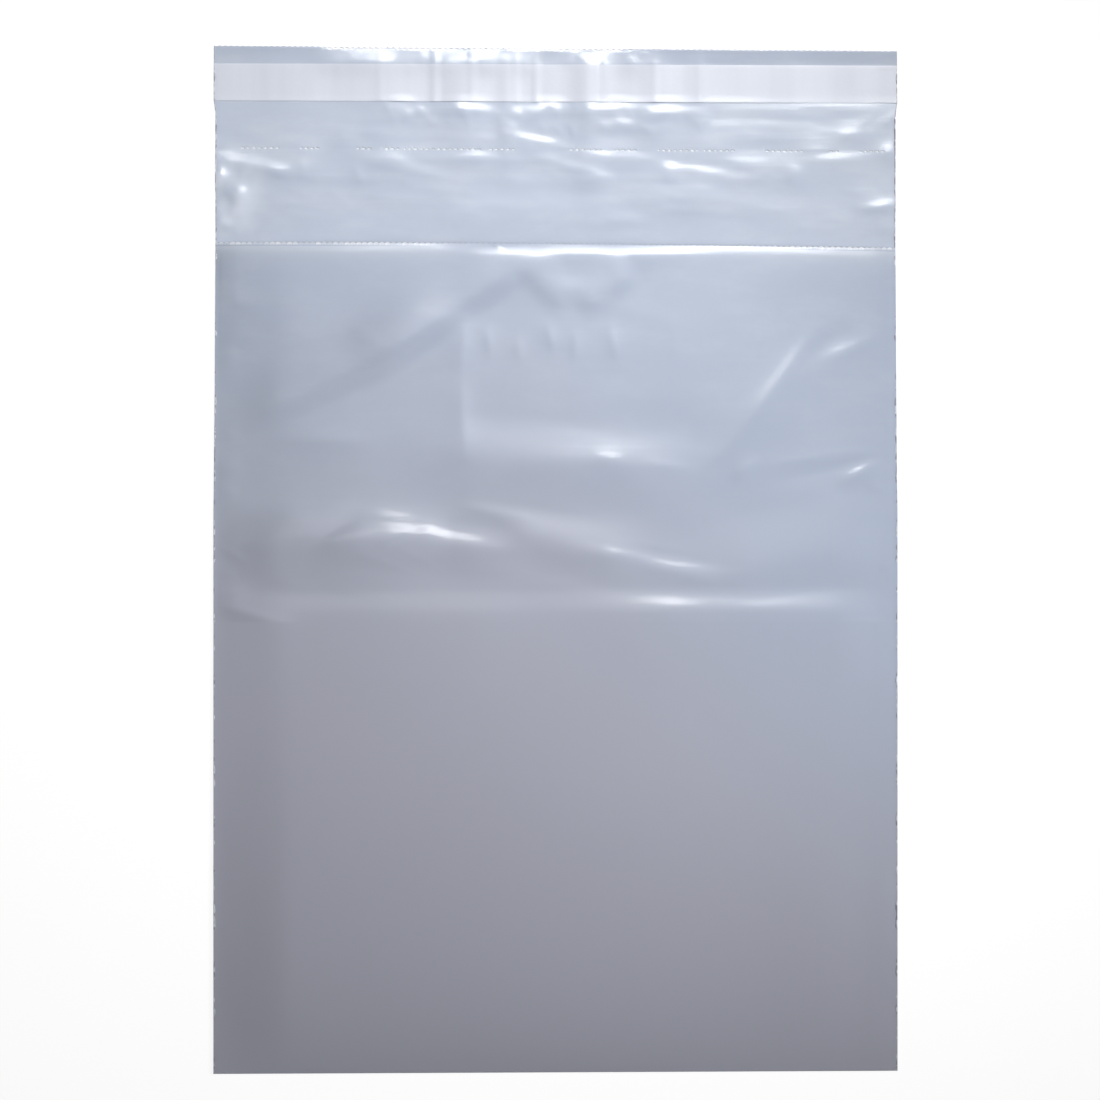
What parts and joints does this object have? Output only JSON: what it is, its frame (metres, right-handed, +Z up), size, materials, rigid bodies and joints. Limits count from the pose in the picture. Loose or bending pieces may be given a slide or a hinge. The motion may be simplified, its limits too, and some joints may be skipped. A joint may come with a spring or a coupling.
{
  "type": "tamper-evident bag",
  "caption": "Flat clear polythene bag with welded sides, an open mouth, a perforated lip and a tamper tape under a peel-off release liner.",
  "frame": {"origin": "middle of the bag's outline, on the table that it lies on", "axes": "+X across the bag, +Y from the bottom fold towards the lip, +Z up through the panels"},
  "size_m": [0.3, 0.449, 0.0133],
  "materials": {
    "film": "clear grey-blue polythene film with a soft gloss",
    "tape": "pale adhesive film",
    "liner": "pale satin release film"
  },
  "bodies": {
    "root": {"film_bag": "film", "tamper_tape": "tape", "release_liner": "liner"}
  },
  "joints": []
}
